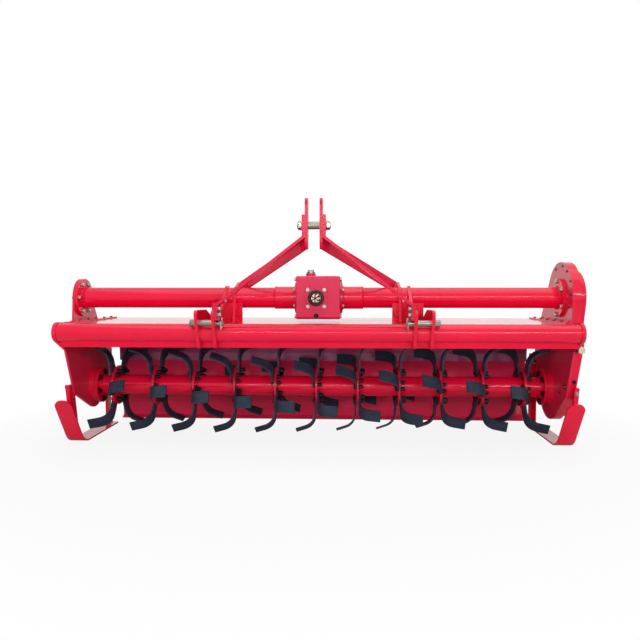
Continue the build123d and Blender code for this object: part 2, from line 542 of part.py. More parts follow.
strut_half = FRONT_STRUT_WIDE / 2
(top_y, top_z), (foot_y, foot_z) = FRONT_STRUT_TOP, FRONT_STRUT_FOOT
strut_web = Polygon(
    (foot_y - strut_half, foot_z),
    (foot_y + strut_half, foot_z),
    (top_y + strut_half, top_z),
    (top_y - strut_half, top_z),
    align=None,
)
strut_lip = Polygon(
    (foot_y - strut_half, foot_z),
    (foot_y - strut_half + STRUT_WALL, foot_z),
    (top_y - strut_half + STRUT_WALL, top_z),
    (top_y - strut_half, top_z),
    align=None,
)
lean = (foot_y - top_y) / (top_z - foot_z)
strut_holes = Sketch()
for i in range(STRUT_HOLE_COUNT):
    drop = STRUT_HOLE_PITCH * (i + 2)
    strut_holes += Pos(top_y + lean * drop, top_z - drop) * Circle(STRUT_HOLE_R)

for name, side in SIDES:
    placed_sole = Pos(side * skid_x, 0, 0) * sole
    save(f"skid_{name}", placed_sole)

    # front strut: on the outside; the gear side's lip turns inwards, in front of the case
    seat_x = side * (case_x if side < 0 else cover_x)
    web_x = seat_x + side * STRUT_WALL
    lip_x = seat_x + side * STRUT_FLANGE if side < 0 else web_x - STRUT_FLANGE
    strut = slab(strut_web - strut_holes, seat_x, web_x) + slab(strut_lip, web_x, lip_x)
    save(f"skid_front_strut_{name}", strut - under - placed_sole - case)

    # rear strut: outside the left plate, inside the gear side's plate; its lip is at the rear
    rear_front, rear_back = REAR_STRUT_Y - REAR_STRUT_WIDE / 2, REAR_STRUT_Y + REAR_STRUT_WIDE / 2
    seat_x = -case_x if side < 0 else SIDE_INNER
    rear = block(seat_x, seat_x - STRUT_WALL, rear_front, rear_back, SKID_WALL, REAR_STRUT_TOP_Z)
    rear += block(
        seat_x, seat_x - REAR_STRUT_FLANGE, rear_back - STRUT_WALL, rear_back, SKID_WALL, REAR_STRUT_TOP_Z
    )
    foot_x = seat_x + REAR_FOOT_SET
    rear += block(foot_x, foot_x - REAR_STRUT_FOOT, rear_front, rear_back, SKID_WALL, 2 * SKID_WALL)
    save(f"skid_rear_strut_{name}", rear)
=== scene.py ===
# Finish, fasteners, welds and studio for a red rotary tiller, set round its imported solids.
# Metres.  +X runs across the machine to the gear case, +Y to the rear, +Z up from the skids' soles.
from math import pi, radians

import bpy
import numpy as np
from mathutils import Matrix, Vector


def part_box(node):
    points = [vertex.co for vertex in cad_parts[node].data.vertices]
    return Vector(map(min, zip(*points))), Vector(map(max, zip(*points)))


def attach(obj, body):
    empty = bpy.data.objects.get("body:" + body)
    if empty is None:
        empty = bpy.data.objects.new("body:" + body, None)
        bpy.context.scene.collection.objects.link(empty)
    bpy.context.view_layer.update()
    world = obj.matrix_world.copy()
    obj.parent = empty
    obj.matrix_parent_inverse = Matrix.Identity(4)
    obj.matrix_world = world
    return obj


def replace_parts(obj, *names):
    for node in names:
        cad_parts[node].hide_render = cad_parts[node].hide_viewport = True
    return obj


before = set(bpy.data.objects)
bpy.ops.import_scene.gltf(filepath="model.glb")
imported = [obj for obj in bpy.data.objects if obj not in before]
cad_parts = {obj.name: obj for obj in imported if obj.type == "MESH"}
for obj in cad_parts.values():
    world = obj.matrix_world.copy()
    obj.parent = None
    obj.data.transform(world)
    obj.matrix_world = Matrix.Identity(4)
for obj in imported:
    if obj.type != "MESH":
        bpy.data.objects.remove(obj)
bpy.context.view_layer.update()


# ---------------------------------------------------------------- places read from the solids
def low(node):
    """Lowest corner of a node as an array."""
    return np.array(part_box(node)[0])


def high(node):
    """Highest corner of a node as an array."""
    return np.array(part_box(node)[1])


def middle(node):
    """Middle of a node's box as an array."""
    return (low(node) + high(node)) / 2


SIDES = (("left", -1), ("gear", 1))
ROTOR = middle("rotor_shaft") * (0, 1, 1)
TUBE = middle("cross_tube_left") * (0, 1, 1)
BEAM = middle("front_beam") * (0, 1, 1)
PLATE_IN = high("side_plate_left")[0] * -1          # centre plane to the side plates' inner faces
PLATE_OUT = low("side_plate_left")[0] * -1
CASE_OUT = high("gear_case_body")[0]
DECK_TOP = high("hood_deck")[2]
TUBE_R = 0.0495
ROTOR_TUBE_R = 0.050
NECK_R = 0.054                                      # the gearbox's necks, which the tubes slip into
BEAM_R = high("front_beam")[2] - BEAM[2]
FLANGE_FACE = PLATE_IN - 0.014                      # inner faces of the flanges at the tube's ends
LOWER_PIN = middle("hitch_pin_left") * (0, 1, 1)
TOP_PIN = middle("top_link_pin") * (0, 1, 1)
GEARBOX_LOW, GEARBOX_HIGH = low("gearbox_housing"), high("gearbox_housing")
INPUT = middle("input_shaft") * (0, 0, 1)
ALONG_X, ALONG_Y, ALONG_Z = np.eye(3)


# ---------------------------------------------------------------- forms: (points, lists of faces)
def grid_faces(rows, columns, round_rows=False):
    """Quads of a grid of rings whose point (i, j) has index i * columns + j; the last ring joins
    the first where asked."""
    i = np.arange(rows if round_rows else rows - 1)[:, None]
    j = np.arange(columns)[None, :]
    below, beside = (i + 1) % rows, (j + 1) % columns
    corners = [i * columns + j, i * columns + beside, below * columns + beside, below * columns + j]
    return np.stack(np.broadcast_arrays(*corners), axis=-1).reshape(-1, 4)


def capped(points, rows, columns):
    """Form of a grid of rings closed by a flat face at its first and last ring."""
    first = np.arange(columns)[None, ::-1]
    last = first[:, ::-1] + (rows - 1) * columns
    return points.reshape(-1, 3), [grid_faces(rows, columns), first, last]


def turned(profile, sides=24, ring=False):
    """Turned piece about +Z: at height h and angle t the point is (r cos t, r sin t, h).

    The profile is a table of (h, r) going up, or for a ring a loop of (h, r) with its bore
    going down and its outside going up.
    """
    h, r = np.array(profile, float).T[:, :, None]
    t = np.arange(sides)[None, :] * 2 * pi / sides
    points = np.stack([r * np.cos(t), r * np.sin(t), h + 0 * t], axis=-1)
    if ring:
        return points.reshape(-1, 3), [grid_faces(len(profile), sides, round_rows=True)]
    return capped(points, len(profile), sides)


def hexagonal(flats, height, sides=24):
    """Nut or bolt head about +Z: radius at angle t is the hexagon's, half the width across flats
    over cos(t folded into plus or minus 30 degrees), cut back by a cone at both ends."""
    t = np.arange(sides)[None, :] * 2 * pi / sides
    flat = flats / 2 / np.cos((t + pi / 6) % (pi / 3) - pi / 6)
    chamfer = 0.08 * flats
    h = np.array([0, chamfer * 0.6, height - chamfer * 0.6, height])[:, None]
    limit = np.array([0.505, 0.58, 0.58, 0.49])[:, None] * flats     # 0.58 clears the corners
    r = np.minimum(flat, limit)
    points = np.stack([r * np.cos(t), r * np.sin(t), h + 0 * t], axis=-1)
    return capped(points, 4, sides)


def joined(*forms):
    """One form from several, with each form's faces counted on from the points before it."""
    points, faces, start = [], [], 0
    for form_points, form_faces in forms:
        points.append(form_points)
        faces += [part + start for part in form_faces]
        start += len(form_points)
    return np.concatenate(points), faces


def lifted(form, height):
    """The form moved up its own axis."""
    return form[0] + (0, 0, height), form[1]


def set_out(form, spots, axis):
    """Copies of a form, its +Z laid along an axis, one at each spot.

    A point (x, y, z) of the form lands at spot + x u + y v + z axis, u and v square to the axis.
    """
    points, faces = form
    spots = np.atleast_2d(np.array(spots, float))
    axes = np.broadcast_to(np.array(axis, float), spots.shape)
    axes = axes / np.linalg.norm(axes, axis=1, keepdims=True)
    lean = np.where(np.abs(axes[:, :1]) > 0.9, ALONG_Y, ALONG_X)
    v = np.cross(axes, lean)
    v /= np.linalg.norm(v, axis=1, keepdims=True)
    u = np.cross(v, axes)
    basis = np.stack([u, v, axes], axis=1)
    placed = np.einsum("pk,skc->spc", points, basis) + spots[:, None, :]
    starts = (np.arange(len(spots)) * len(points))[:, None, None]
    counted_on = [(part[None] + starts).reshape(-1, part.shape[1]) for part in faces]
    return placed.reshape(-1, 3), counted_on


def drawn(path, radius, up, sides, closed=False):
    """Bar carried along a path.

    Round each path point c lies the ring c + r (cos t side + sin t over); side is up crossed with
    the tangent, over is the tangent crossed with side.
    """
    path = np.array(path, float)
    if closed:
        tangent = np.roll(path, -1, axis=0) - np.roll(path, 1, axis=0)
    else:
        tangent = np.gradient(path, axis=0)
    tangent /= np.linalg.norm(tangent, axis=1, keepdims=True)
    side = np.cross(np.broadcast_to(np.array(up, float), tangent.shape), tangent)
    side /= np.linalg.norm(side, axis=1, keepdims=True)
    over = np.cross(tangent, side)
    t = np.arange(sides)[None, :, None] * 2 * pi / sides
    r = np.broadcast_to(np.array(radius, float), len(path))[:, None, None]
    points = path[:, None, :] + r * (np.cos(t) * side[:, None, :] + np.sin(t) * over[:, None, :])
    if closed:
        return points.reshape(-1, 3), [grid_faces(len(path), sides, round_rows=True)]
    return capped(points, len(path), sides)


def round_axis(centre, radius, x, a):
    """Points round an axis along X: centre + radius (cos a, sin a) in Y and Z, at a given X."""
    y, z = centre[1] + radius * np.cos(a), centre[2] + radius * np.sin(a)
    return np.stack([np.full(len(a), x), y, z], axis=1)


def ring_spots(centre, radius, count, x, first):
    """Evenly spaced spots round an axis along X, from a first angle in degrees."""
    return round_axis(centre, radius, x, np.radians(first + 360.0 * np.arange(count) / count))


def belt_spots(first, first_r, second, second_r, count, x):
    """Spots evenly spaced along a belt round two pulleys in the YZ plane.

    The belt is the outer edge of both circles: along a direction d a point lies at the centre
    whose c.d + r is larger, plus r d.  Equal steps are read off its running length.
    """
    a = np.linspace(0, 2 * pi, 721)                 # every half degree
    d = np.stack([np.cos(a), np.sin(a)], axis=1)
    centres, radii = np.array([first[1:], second[1:]]), np.array([first_r, second_r])
    reach = d @ centres.T + radii
    pick = np.argmax(reach, axis=1)
    line = centres[pick] + radii[pick][:, None] * d
    run = np.concatenate([[0], np.cumsum(np.linalg.norm(np.diff(line, axis=0), axis=1))])
    at = (np.arange(count) + 0.5) * run[-1] / count
    y, z = (np.interp(at, run, line[:, k]) for k in (0, 1))
    return np.stack([np.full(count, x), y, z], axis=1)


# ---------------------------------------------------------------- fasteners, welds
THREAD_PITCH = 0.32                                 # as shares of the thread's radius
THREAD_ROOT, THREAD_CHAMFER = 0.88, 0.15
SEAT_SHARE = 0.18                                   # washer's thickness, as a share of the thread


def threaded_end(radius, start, end):
    """Screwed end about +Z: its radius goes from crest to root and back once in each pitch."""
    turns = max(2, int((end - start) / (radius * THREAD_PITCH)))
    h = np.linspace(start, end - radius * THREAD_CHAMFER, 2 * turns + 1)
    r = np.where(np.arange(len(h)) % 2 == 0, radius * THREAD_ROOT, radius)
    profile = [(start - radius * 0.2, radius * 0.9), *zip(h, r), (end, radius * 0.75)]
    return turned(profile, 16)


def washer(bore, radius, thick, sides=24):
    """Flat ring with a broken outer edge, seated at the origin."""
    edge = thick * 0.25
    inside = [(thick, bore), (0, bore)]
    outside = [(0, radius - edge), (edge, radius), (thick - edge, radius), (thick, radius - edge)]
    return turned(inside + outside, sides, ring=True)


def bolt_head(size, with_washer=True, sides=24):
    """Hexagon head for a bolt of a given thread, with its washer, standing on the origin."""
    head = hexagonal(1.55 * size, 0.65 * size, sides)
    if not with_washer:
        return head
    thick = SEAT_SHARE * size
    return joined(washer(0.5 * size, 1.12 * size, thick, sides), lifted(head, thick))


def nut_and_end(size, proud):
    """Washer, nut and the screwed end that stands proud of it by a share of the thread."""
    thick, tall = SEAT_SHARE * size, 0.85 * size
    nut = hexagonal(1.55 * size, tall)
    end = threaded_end(size / 2, thick + tall - 0.001, thick + tall + proud * size)
    return joined(washer(0.5 * size, 1.12 * size, thick), lifted(nut, thick), end)


WELD_STEP = 0.0013                                  # between a weld path's points
WELD_OFF = 0.001                                    # a weld's middle stands this far off the skin
RIPPLE_PITCH, WANDER_PITCH = 0.0052, 0.06


def arc_path(centre, radius, x, start=0.0, end=360.0, step=WELD_STEP):
    """Points of an arc round an axis along X, about a step apart."""
    closed = abs(end - start) >= 360
    count = max(8, int(abs(radians(end - start)) * radius / step))
    a = np.radians(np.linspace(start, end, count, endpoint=not closed))
    return round_axis(centre, radius, x, a)


def line_path(start, end):
    """Points of a straight run, about a weld's step apart."""
    start, end = np.array(start, float), np.array(end, float)
    count = max(8, int(np.linalg.norm(end - start) / WELD_STEP))
    return start + (end - start) * np.linspace(0, 1, count)[:, None]


def weld(path, size, up, closed=False, pitch=RIPPLE_PITCH):
    """Weld bead along a path: its radius swells once per pitch, as size (0.86 + 0.14 |sin|), times
    a slow wander of 1 + 0.08 sin once every 60 mm; an open bead tapers at both ends."""
    step = np.linalg.norm(np.diff(path, axis=0), axis=1).mean()
    run = np.arange(len(path)) * step
    total = run[-1] + step
    ripples, wanders = (max(1, round(total / each)) for each in (pitch, WANDER_PITCH))
    radius = size * (0.86 + 0.14 * np.abs(np.sin(pi * ripples * run / total)))
    radius *= 1 + 0.08 * np.sin(2 * pi * run / total * wanders)
    if not closed:
        radius *= np.clip(np.minimum(run, run[-1] - run) / size * 0.35 + 0.55, 0.5, 1)
    return drawn(path, radius, up, sides=8, closed=closed)


# ---------------------------------------------------------------- finishes
def linear(*rgb):
    """Colour from 0 to 255 per channel, as shown on a screen, to the renderer's linear light."""
    c = np.array(rgb, float) / 255
    c = np.where(c <= 0.04045, c / 12.92, ((c + 0.055) / 1.055) ** 2.4)
    return (*c, 1.0)


class Finish:
    """A node material with a Principled shader and a few ways to lay noise into it."""

    def __init__(self, name, **sockets):
        """Starts from the shader's own sockets, named with _ for a space, at one value each."""
        self.material = bpy.data.materials.new(name)
        self.material.use_nodes = True
        self.tree = self.material.node_tree
        self.shader = self.tree.nodes["Principled BSDF"]
        self.place = self.tree.nodes.new("ShaderNodeTexCoord").outputs["Object"]
        for socket, value in sockets.items():
            self.shader.inputs[socket.replace("_", " ")].default_value = value

    def node(self, kind, inputs=(), **settings):
        """Adds a node, sets its settings, and links or fills inputs from (name, value) pairs."""
        made = self.tree.nodes.new(kind)
        for key, value in settings.items():
            setattr(made, key, value)
        for key, value in inputs:
            if isinstance(value, bpy.types.NodeSocket):
                self.tree.links.new(value, made.inputs[key])
            else:
                made.inputs[key].default_value = value
        return made

    def parted(self):
        """The piece's own place as its X, Y and Z."""
        return self.node("ShaderNodeSeparateXYZ", [("Vector", self.place)]).outputs

    def maths(self, operation, *values):
        """One step of arithmetic on numbers and sockets."""
        return self.node("ShaderNodeMath", enumerate(values), operation=operation).outputs[0]

    def length(self, vector):
        """Length of a vector socket."""
        return self.node("ShaderNodeVectorMath", [(0, vector)], operation="LENGTH").outputs["Value"]

    def noise(self, scale, detail, rough=0.55, stretch=(1, 1, 1)):
        """Noise over the piece's own place, stretched along its axes, from 0 to 1."""
        place = self.node("ShaderNodeMapping", [("Vector", self.place), ("Scale", stretch)])
        settings = [
            ("Vector", place.outputs[0]), ("Scale", scale), ("Detail", detail), ("Roughness", rough),
        ]
        return self.node("ShaderNodeTexNoise", settings).outputs["Fac"]

    def spots(self, scale, size):
        """Small round specks: 1 inside a cell's core, falling to 0 at the given size."""
        cells = self.node("ShaderNodeTexVoronoi", [("Vector", self.place), ("Scale", scale)])
        return self.ramp(cells.outputs["Distance"], 0.0, size, 1.0, 0.0)

    def ramp(self, value, low_in, high_in, low_out, high_out):
        """Straight change of one range into another, held at its ends."""
        settings = [
            ("Value", value), ("From Min", low_in), ("From Max", high_in),
            ("To Min", low_out), ("To Max", high_out),
        ]
        return self.node("ShaderNodeMapRange", settings).outputs["Result"]

    def blend(self, share, first, second):
        """Colour between two, by a share from 0 to 1; a mix node keeps its two colours in its
        sockets 6 and 7 and gives the result in its output 2."""
        inputs = [("Factor", share), (6, first), (7, second)]
        return self.node("ShaderNodeMix", inputs, data_type="RGBA").outputs[2]

    def colour(self, socket):
        """Lays a colour on the surface."""
        self.tree.links.new(socket, self.shader.inputs["Base Color"])

    def roughness(self, socket):
        """Lays a roughness on the surface."""
        self.tree.links.new(socket, self.shader.inputs["Roughness"])

    def bump(self, height, depth, strength, over_coat=True):
        """Relief of a given depth in metres, from a height of 0 to 1, in the clear coat or only
        under it."""
        settings = [("Height", height), ("Strength", strength), ("Distance", depth)]
        normal = self.node("ShaderNodeBump", settings).outputs["Normal"]
        self.tree.links.new(normal, self.shader.inputs["Normal"])
        if over_coat:
            self.tree.links.new(normal, self.shader.inputs["Coat Normal"])


ENAMEL = {"Coat_IOR": 1.36, "Specular_IOR_Level": 0.08}


def sprayed_red(name, bright, deep, rough_low, rough_high, coat, coat_rough=0.05):
    """Sprayed enamel on plate: broad drift between two reds under a clear, even gloss."""
    finish = Finish(name, Coat_Weight=coat, Coat_Roughness=coat_rough, **ENAMEL)
    drift = finish.ramp(finish.noise(2.6, 4), 0.32, 0.68, 0, 1)
    red = finish.blend(drift, linear(*deep), linear(*bright))
    finish.colour(red)
    finish.roughness(finish.ramp(finish.noise(9, 4), 0.3, 0.7, rough_low, rough_high))
    finish.bump(finish.noise(60, 2), 0.0004, 0.12, over_coat=False)
    return finish.material


def cast_red(name, middle_x, cast_half):
    """Enamel over sand casting, grained by the mould; machined necks stay smooth, which begin
    cast_half to both sides of middle_x."""
    finish = Finish(
        name, Coat_Weight=0.8, Coat_Roughness=0.13, Coat_IOR=1.4, Specular_IOR_Level=0.15
    )
    off = finish.maths("ABSOLUTE", finish.maths("SUBTRACT", finish.parted()["X"], middle_x))
    neck = finish.ramp(off, cast_half, cast_half + 0.004, 0.0, 1.0)
    drift = finish.ramp(finish.noise(7, 4), 0.3, 0.7, 0, 1)
    red = finish.blend(drift, linear(206, 22, 72), linear(216, 30, 80))
    grain = finish.blend(finish.spots(260, 0.22), red, linear(186, 12, 52))
    finish.colour(finish.blend(neck, grain, linear(224, 12, 56)))
    finish.roughness(finish.ramp(finish.noise(14, 4), 0.3, 0.7, 0.3, 0.46))
    finish.bump(finish.noise(230, 4, 0.7), 0.0012, 0.2, over_coat=False)
    return finish.material


def wall_red(name, front_y, foot_y, bend_z, top_z):
    """Sprayed enamel on a leaning wall, with a painted bluish reflection laid into its colour on the
    rotor's side.

    The wall's middle runs from front_y at top_z to foot_y at bend_z and hangs upright below it.
    """
    finish = Finish(name, Coat_Weight=0.85, Coat_Roughness=0.08, **ENAMEL)
    place = finish.parted()
    core = finish.ramp(place["Z"], bend_z, top_z, foot_y, front_y)
    outside = finish.ramp(finish.maths("SUBTRACT", place["Y"], core), -0.0005, 0.0005, 0.0, 1.0)
    drift = finish.ramp(finish.noise(2.6, 4), 0.32, 0.68, 0, 1)
    # painted reflection: a paler, bluish red on the rotor's side stands in for white light reflected
    # into the hood; the rear side keeps the plain red
    painted_reflection_red = finish.blend(drift, linear(160, 78, 122), linear(174, 84, 130))
    plain_red = finish.blend(drift, linear(217, 8, 49), linear(229, 12, 55))
    finish.colour(finish.blend(outside, painted_reflection_red, plain_red))
    finish.roughness(finish.ramp(finish.noise(9, 4), 0.3, 0.7, 0.32, 0.46))
    finish.bump(finish.noise(60, 2), 0.0004, 0.12, over_coat=False)
    return finish.material


def black_spring_steel(name):
    """Dipped blade steel: slate black with rolling streaks and worn, slightly lighter patches."""
    finish = Finish(name, Coat_Weight=0.0, Specular_IOR_Level=0.22)
    streak = finish.ramp(finish.noise(14, 5, 0.6, (1, 1, 3)), 0.35, 0.7, 0, 1)
    dark = finish.blend(streak, linear(39, 49, 64), linear(53, 64, 80))
    rub = finish.ramp(finish.noise(48, 5, 0.75), 0.62, 0.8, 0, 0.5)
    finish.colour(finish.blend(rub, dark, linear(70, 78, 90)))
    finish.roughness(finish.ramp(finish.noise(30, 4), 0.3, 0.7, 0.34, 0.55))
    finish.bump(finish.noise(120, 4, 0.7), 0.001, 0.25)
    return finish.material


def zinc_plate(name, tone, yellow):
    """Zinc plating: bright metal with a faint yellow passivation that comes and goes."""
    finish = Finish(name, Metallic=1.0)
    cloud = finish.ramp(finish.noise(30, 3), 0.4, 0.7, 0, 0.7)
    finish.colour(finish.blend(cloud, linear(*tone), linear(*yellow)))
    finish.roughness(finish.ramp(finish.noise(60, 3), 0.3, 0.7, 0.26, 0.36))
    finish.bump(finish.noise(420, 2), 0.0003, 0.08)
    return finish.material


def splined_steel(name, axis_z):
    """Ground steel of a stub along Y at a given height: bright on its six splines, with painted
    shade between them and in its centre hole, by cos(6 angle) and the distance from the axis."""
    finish = Finish(name, Metallic=1.0)
    place = finish.parted()
    across, above = place["X"], finish.maths("SUBTRACT", place["Z"], axis_z)
    six_turns = finish.maths("MULTIPLY", finish.maths("ARCTAN2", above, across), 6.0)
    wave = finish.maths("COSINE", six_turns)
    from_axis = finish.node("ShaderNodeCombineXYZ", [("X", across), ("Z", above)]).outputs[0]
    spline = finish.ramp(wave, -0.35, 0.25, 0.0, 1.0)
    outside_hole = finish.ramp(finish.length(from_axis), 0.006, 0.007, 0.0, 1.0)
    land = finish.maths("MULTIPLY", spline, outside_hole)
    cloud = finish.ramp(finish.noise(60, 3), 0.35, 0.7, 0, 1)
    bright = finish.blend(cloud, linear(206, 196, 172), linear(186, 172, 148))
    # painted shade: the dark colour between the splines and in the centre hole stands in for shade
    # in those recesses
    finish.colour(finish.blend(land, linear(52, 44, 44), bright))
    finish.roughness(finish.ramp(finish.noise(60, 3), 0.3, 0.7, 0.3, 0.42))
    finish.bump(finish.noise(420, 2), 0.0003, 0.08)
    return finish.material


def black_oxide(name):
    """Blacked steel bolts with an oily sheen and a few rubbed corners."""
    finish = Finish(name, Metallic=0.55)
    rub = finish.ramp(finish.noise(70, 4, 0.7), 0.55, 0.75, 0, 0.7)
    finish.colour(finish.blend(rub, linear(20, 21, 24), linear(74, 76, 80)))
    finish.roughness(finish.ramp(finish.noise(60, 3), 0.3, 0.7, 0.28, 0.45))
    finish.bump(finish.noise(300, 3), 0.0004, 0.2)
    return finish.material


def seal_rubber(name):
    """Moulded nitrile rubber: near black, matt, with a fine grain."""
    finish = Finish(name)
    finish.colour(finish.blend(finish.noise(80, 3), linear(16, 16, 17), linear(34, 33, 33)))
    finish.roughness(finish.ramp(finish.noise(60, 3), 0.3, 0.7, 0.5, 0.7))
    finish.bump(finish.noise(500, 3), 0.0003, 0.3)
    return finish.material


# enamels: bright and deep red, least and most roughness, gloss coat and the coat's roughness
plate_red = sprayed_red("plate_enamel", (230, 12, 58), (218, 8, 52), 0.26, 0.4, 0.8)
# the tailboard's paler, pinker red is the plates' red paint with a painted reflection of white light
# mixed in
board_red = sprayed_red("tailboard_enamel", (234, 50, 92), (224, 44, 84), 0.34, 0.5, 0.85, 0.08)
# the side plates' paler, bluer red is the plates' red paint with a painted bluish reflection mixed
# in
side_red = sprayed_red("side_plate_enamel", (216, 38, 72), (202, 32, 64), 0.3, 0.44, 0.8, 0.08)
mast_red = sprayed_red("mast_enamel", (216, 22, 64), (202, 16, 56), 0.3, 0.44, 0.45, 0.2)
weld_red = sprayed_red("weld_enamel", (222, 12, 54), (202, 6, 46), 0.28, 0.42, 0.7, 0.15)

wall_top_y = low("hood_rear_wall")[1] + 0.003       # half the wall's thickness behind its front
wall_lean, wall_bend_z, wall_top_z = 0.025, 0.396, high("hood_rear_wall")[2]
wall_foot_y = wall_top_y + wall_lean
inner_red = wall_red("rear_wall_enamel", wall_top_y, wall_foot_y, wall_bend_z, wall_top_z)
casting_red = cast_red("casting_enamel", middle_x=0.008, cast_half=0.112)
blade_black = black_spring_steel("blade_steel")
zinc = zinc_plate("zinc_plating", (168, 170, 168), (176, 168, 142))
pin_steel = zinc_plate("pin_steel", (140, 137, 130), (150, 142, 122))
bright_zinc = zinc_plate("bright_zinc_plating", (214, 210, 196), (214, 200, 160))
dull_zinc = zinc_plate("dull_zinc_plating", (112, 100, 100), (96, 70, 72))
spline_steel = splined_steel("ground_spline_steel", INPUT[2])
bolt_black = black_oxide("blacked_bolts")
rubber = seal_rubber("seal_rubber")

# ---------------------------------------------------------------- the solids' own finishes
node_finish = {
    casting_red: ("gearbox_housing", "gearbox_input_flange", "gear_hub", "bearing_housing"),
    mast_red: ("mast_arm_left", "mast_arm_gear", "mast_brace_left", "mast_brace_gear"),
    side_red: ("side_plate_left", "side_plate_gear"),
    board_red: ("tailboard_panel",),
    inner_red: ("hood_rear_wall",),
    blade_black: ("blades_left", "blades_right"),
    pin_steel: ("filler_cap", "top_link_pin", "hitch_pin_left", "hitch_pin_gear"),
    spline_steel: ("input_shaft",),
    zinc: ("tailboard_hinge_rod",),
}
finish_of = {node: finish for finish, nodes in node_finish.items() for node in nodes}
for name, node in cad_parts.items():
    node.data.materials.clear()
    node.data.materials.append(finish_of.get(name, plate_red))


def add(name, form, material, body, crease=32.0):
    """Makes a piece of the machine from a form, smooth up to a crease angle in degrees."""
    points, faces = form
    mesh = bpy.data.meshes.new(name)
    mesh.from_pydata(points.tolist(), [], [face for part in faces for face in part.tolist()])
    mesh.shade_smooth()
    mesh.set_sharp_from_angle(angle=radians(crease))
    mesh.materials.append(material)
    piece = bpy.data.objects.new(name, mesh)
    bpy.context.scene.collection.objects.link(piece)
    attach(piece, body)
    return piece


# ---------------------------------------------------------------- tube flanges, side plates
WELD_CREASE = 60                                    # a weld's ripples stay smooth up to this angle
FLANGE_RING = {-1: (0.073, 60.0), 1: (0.079, 30.0)}     # ring of bolts: radius, first angle
FLANGE_BOLTS = 6
neck_end = {-1: GEARBOX_LOW[0], 1: GEARBOX_HIGH[0]}
neck_face = {-1: -0.106, 1: 0.122}                  # faces of the gearbox's neck flanges
box_side = {-1: -0.094, 1: 0.110}                   # its flat sides, below and above them
STRIP_MIDDLE, STRIP_MARGIN, STRIP_BOLTS = 0.021, 0.03, 6    # strips along the deck's ends
for name, side in SIDES:
    radius, first = FLANGE_RING[side]
    spots = ring_spots(TUBE, radius, FLANGE_BOLTS, side * FLANGE_FACE, first)
    bolts = set_out(bolt_head(0.011), spots, -side * ALONG_X)
    add(f"tube_flange_bolts_{name}", bolts, zinc, "frame")
    if side < 0:
        spots[:, 0] = -PLATE_OUT
        thin_nut = joined(washer(0.006, 0.0125, 0.002), lifted(hexagonal(0.018, 0.005), 0.002))
        nuts = set_out(thin_nut, spots, -ALONG_X)
        add("tube_flange_nuts_left", nuts, dull_zinc, "frame")

    round_tube = TUBE_R + WELD_OFF
    at_neck, at_box = neck_end[side] + side * WELD_OFF, neck_face[side] + side * WELD_OFF
    at_flange = side * (FLANGE_FACE - WELD_OFF)
    on_beam = arc_path(BEAM, BEAM_R + WELD_OFF, side * (PLATE_IN - WELD_OFF), 90, 350)
    welds = [
        weld(arc_path(TUBE, round_tube, at_flange), 0.0065, ALONG_X, True),
        weld(on_beam, 0.006, ALONG_X),
        weld(arc_path(TUBE, round_tube, at_neck), 0.005, ALONG_X, True),
        weld(arc_path(TUBE, NECK_R + WELD_OFF, at_box), 0.004, ALONG_X, True),
    ]
    add(f"tube_welds_{name}", joined(*welds), weld_red, "frame", WELD_CREASE)

    strip_low, strip_high = low(f"deck_edge_{name}"), high(f"deck_edge_{name}")
    y = np.linspace(strip_low[1] + STRIP_MARGIN, strip_high[1] - STRIP_MARGIN, STRIP_BOLTS)
    spots = [(side * (PLATE_IN - STRIP_MIDDLE), each, strip_high[2]) for each in y]
    bolts = set_out(bolt_head(0.0075, False), spots, ALONG_Z)
    add(f"deck_edge_bolts_{name}", bolts, weld_red, "frame")

# ends of the case bolts that come through the gear-side plate, and two bolts near its foot
stud_nut = joined(washer(0.002, 0.0065, 0.0011, 16), lifted(hexagonal(0.0088, 0.0045, 12), 0.0011))
rim = (                                             # Y and Z from the tube's axis
    (-0.090, 0.124), (-0.136, 0.079), (-0.147, 0.016),
    (-0.122, -0.040), (-0.030, 0.149), (0.060, 0.137),
)
foot = ((-0.137, 0.292, 0.010), (-0.063, 0.251, 0.006))     # Y, Z, thread
spots = [(PLATE_IN, TUBE[1] + y, TUBE[2] + z) for y, z in rim]
forms = [set_out(stud_nut, spots, -ALONG_X)]
forms += [set_out(bolt_head(size), (PLATE_IN, y, z), -ALONG_X) for y, z, size in foot]
add("case_stud_nuts", joined(*forms), dull_zinc, "frame")

# gear case: screws round the cover's foot and a line of sealing along its edge, and on the front
# rim a holding bolt on its boss and a plug
COVER_SCREWS, GASKET_POINTS = 22, 360
spots = belt_spots(TUBE, 0.150, ROTOR, 0.151, COVER_SCREWS, CASE_OUT)
screws = set_out(bolt_head(0.008, False), spots, ALONG_X)
add("case_cover_screws", screws, zinc, "frame")

holding_spot, holding_way = (1.1735, -0.236, 0.476), (0.1, -0.995, 0)
boss = turned([(-0.004, 0.0155), (0.0195, 0.0155), (0.022, 0.0138), (0.022, 0.006)], 32)
boss = set_out(boss, holding_spot, holding_way)
add("case_bolt_boss", boss, bolt_black, "frame")
holding_head = set_out(lifted(hexagonal(0.0305, 0.0225), 0.0223), holding_spot, holding_way)
add("case_holding_bolt", holding_head, bright_zinc, "frame")

gasket_line = belt_spots(TUBE, 0.1305, ROTOR, 0.1445, GASKET_POINTS, CASE_OUT + 0.0006)
gasket = drawn(gasket_line, 0.0013, ALONG_X, 6, closed=True)
add("case_cover_gasket", gasket, rubber, "frame")

level_plug = joined(
    turned([(-0.006, 0.0085), (0.002, 0.0085), (0.0032, 0.0077), (0.0032, 0.005)], 24),
    lifted(hexagonal(0.0105, 0.005, 12), 0.0025),
)
plug_spot, plug_way = (1.184, -0.181, 0.320), (0, -0.923, -0.385)
add("case_level_plug", set_out(level_plug, plug_spot, plug_way), bolt_black, "frame")

